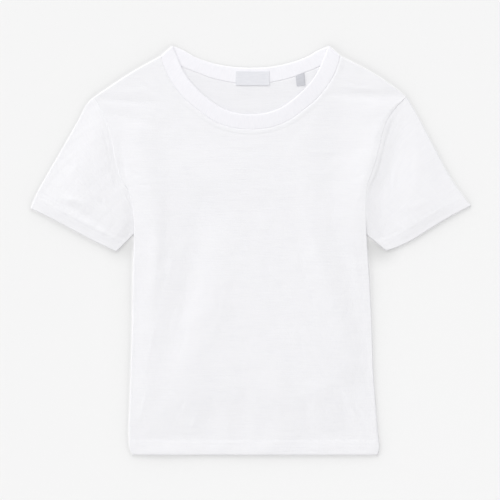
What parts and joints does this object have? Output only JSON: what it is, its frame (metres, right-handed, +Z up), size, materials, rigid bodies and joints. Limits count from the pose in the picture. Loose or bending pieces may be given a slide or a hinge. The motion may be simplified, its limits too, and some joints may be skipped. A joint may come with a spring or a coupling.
{
  "type": "t-shirt",
  "caption": "Short-sleeved round-neck jersey t-shirt laid flat, face up, with a turned hem, folded sleeves and a folded neckband.",
  "frame": {"origin": "centre of the bounding box of the shirt's plan, on the surface that it lies on", "axes": "+Z up from the surface, +Y from the hem to the neck, +X to the right of the shirt as seen from above"},
  "size_m": [0.644, 0.5984, 0.007],
  "materials": {
    "jersey": "matte white slub jersey",
    "neck_rib": "matte white knit band",
    "label": "smooth pale woven tape"
  },
  "bodies": {
    "root": {"back": "jersey", "front": "jersey", "sleeve_left": "jersey", "sleeve_right": "jersey", "neckband": "neck_rib", "neck_label": "label", "size_tab": "label"}
  },
  "joints": []
}
